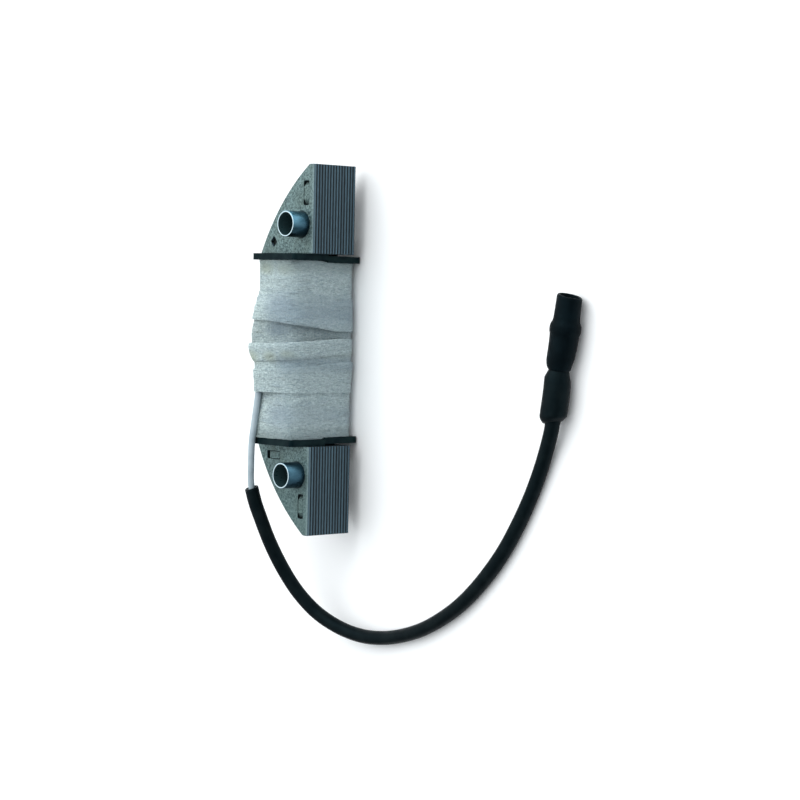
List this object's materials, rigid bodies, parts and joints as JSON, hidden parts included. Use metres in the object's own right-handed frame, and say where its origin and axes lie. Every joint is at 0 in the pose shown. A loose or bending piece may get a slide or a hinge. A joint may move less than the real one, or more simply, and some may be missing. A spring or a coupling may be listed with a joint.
{
  "type": "ignition coil",
  "caption": "Ignition coil for a small engine: laminated steel core with a taped winding, two bolt collars and a sleeved lead with a bullet connector.",
  "frame": {"origin": "midway between the two mounting holes, in the plane of the collars' free ends that seat on the engine", "axes": "+X along the core towards the pole away from the lead, +Y towards the curved pole faces, +Z along the bolt axis, out of the collars"},
  "size_m": [0.1322, 0.108, 0.0263],
  "materials": {
    "lamination_steel": "sheared electrical steel with a dull varnish",
    "bobbin_black": "moulded black nylon",
    "copper_enamel": "enamelled copper wire",
    "white_tape": "woven cotton tape, unbleached white",
    "zinc_collar": "blue-white zinc plating on steel",
    "solder": "solder with dark flux",
    "white_insulation": "white PVC wire insulation",
    "black_vinyl": "soft black vinyl sleeving",
    "black_rubber": "moulded black rubber",
    "bare_copper": "bare stranded copper",
    "terminal_brass": "stamped brass"
  },
  "bodies": {
    "root": {"lamination_01": "lamination_steel", "lamination_02": "lamination_steel", "lamination_03": "lamination_steel", "lamination_04": "lamination_steel", "lamination_05": "lamination_steel", "lamination_06": "lamination_steel", "lamination_07": "lamination_steel", "lamination_08": "lamination_steel", "lamination_09": "lamination_steel", "lamination_10": "lamination_steel", "lamination_11": "lamination_steel", "lamination_12": "lamination_steel", "lamination_13": "lamination_steel", "lamination_14": "lamination_steel", "lamination_15": "lamination_steel", "bobbin_front_half": "bobbin_black", "bobbin_back_half": "bobbin_black", "copper_winding": "copper_enamel", "tape_base_wrap": "white_tape", "tape_upper_wrap": "white_tape", "tape_middle_wrap": "white_tape", "tape_lower_wrap": "white_tape", "mounting_collar_upper": "zinc_collar", "mounting_collar_lower": "zinc_collar", "splice_joint": "solder", "lead_wire": "white_insulation", "lead_sleeve": "black_vinyl", "lead_conductor": "bare_copper", "crimp_cover": "black_vinyl", "connector_boot": "black_rubber", "bullet_receptacle": "terminal_brass"}
  },
  "joints": []
}
